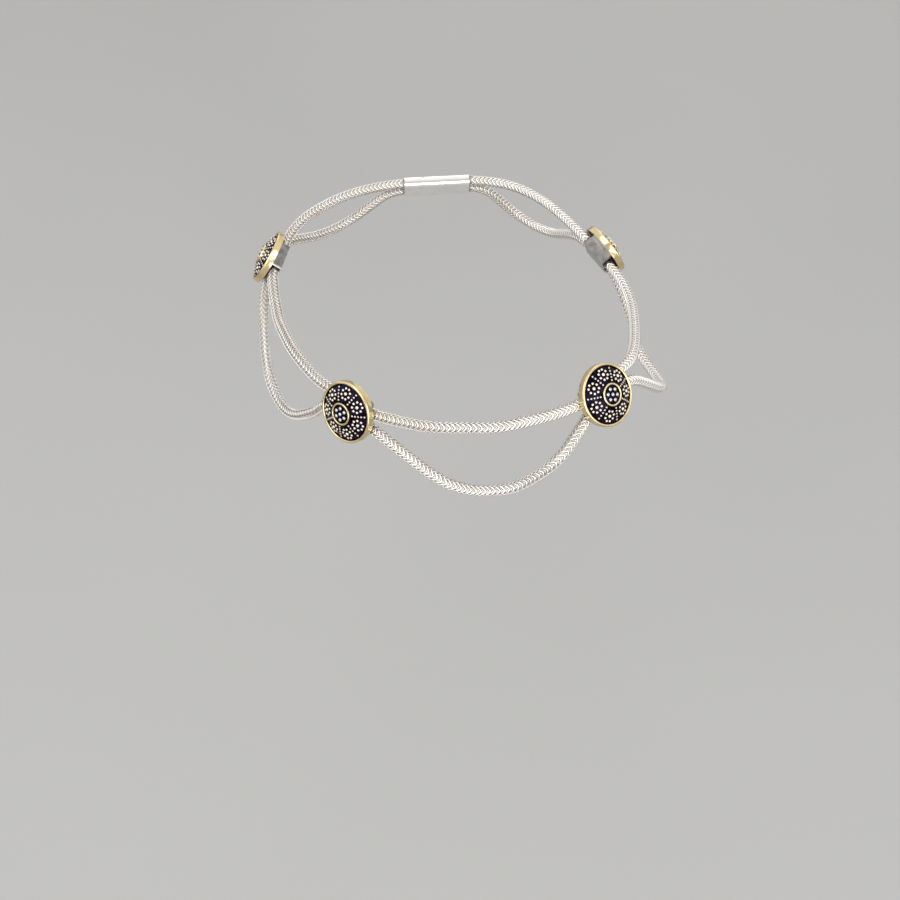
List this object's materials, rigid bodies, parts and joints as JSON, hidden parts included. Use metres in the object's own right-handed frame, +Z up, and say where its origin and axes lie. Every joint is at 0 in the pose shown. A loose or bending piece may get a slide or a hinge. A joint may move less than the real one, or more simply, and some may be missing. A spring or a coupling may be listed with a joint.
{
  "type": "anklet",
  "caption": "Anklet of woven silver chain, taut above and hanging in festoons below, joined by round gold-rimmed medallions with dark granulated faces.",
  "frame": {"origin": "centre of the ankle hollow, at the height of the medallions", "axes": "+Z up along the leg, -Y the front of the ankle that the picture shows, +X to the viewer's right"},
  "size_m": [0.0947, 0.0886, 0.0296],
  "materials": {
    "gold": "polished pale yellow gold",
    "blackened_silver": "oxidised silver, near black in the recesses and bright on the granules",
    "woven_silver": "bright white woven silver wire",
    "clasp_silver": "polished silver with fine wear marks"
  },
  "bodies": {
    "root": {"bezel_1": "gold", "bezel_2": "gold", "bezel_3": "gold", "bezel_4": "gold", "face_1": "blackened_silver", "face_2": "blackened_silver", "face_3": "blackened_silver", "face_4": "blackened_silver", "centre_ring_1": "gold", "centre_ring_2": "gold", "centre_ring_3": "gold", "centre_ring_4": "gold", "upper_chain_1": "woven_silver", "upper_chain_2": "woven_silver", "upper_chain_3": "woven_silver", "upper_chain_4": "woven_silver", "upper_chain_5": "woven_silver", "lower_chain_1": "woven_silver", "lower_chain_2": "woven_silver", "lower_chain_3": "woven_silver", "lower_chain_4": "woven_silver", "lower_chain_5": "woven_silver", "clasp": "clasp_silver"}
  },
  "joints": []
}
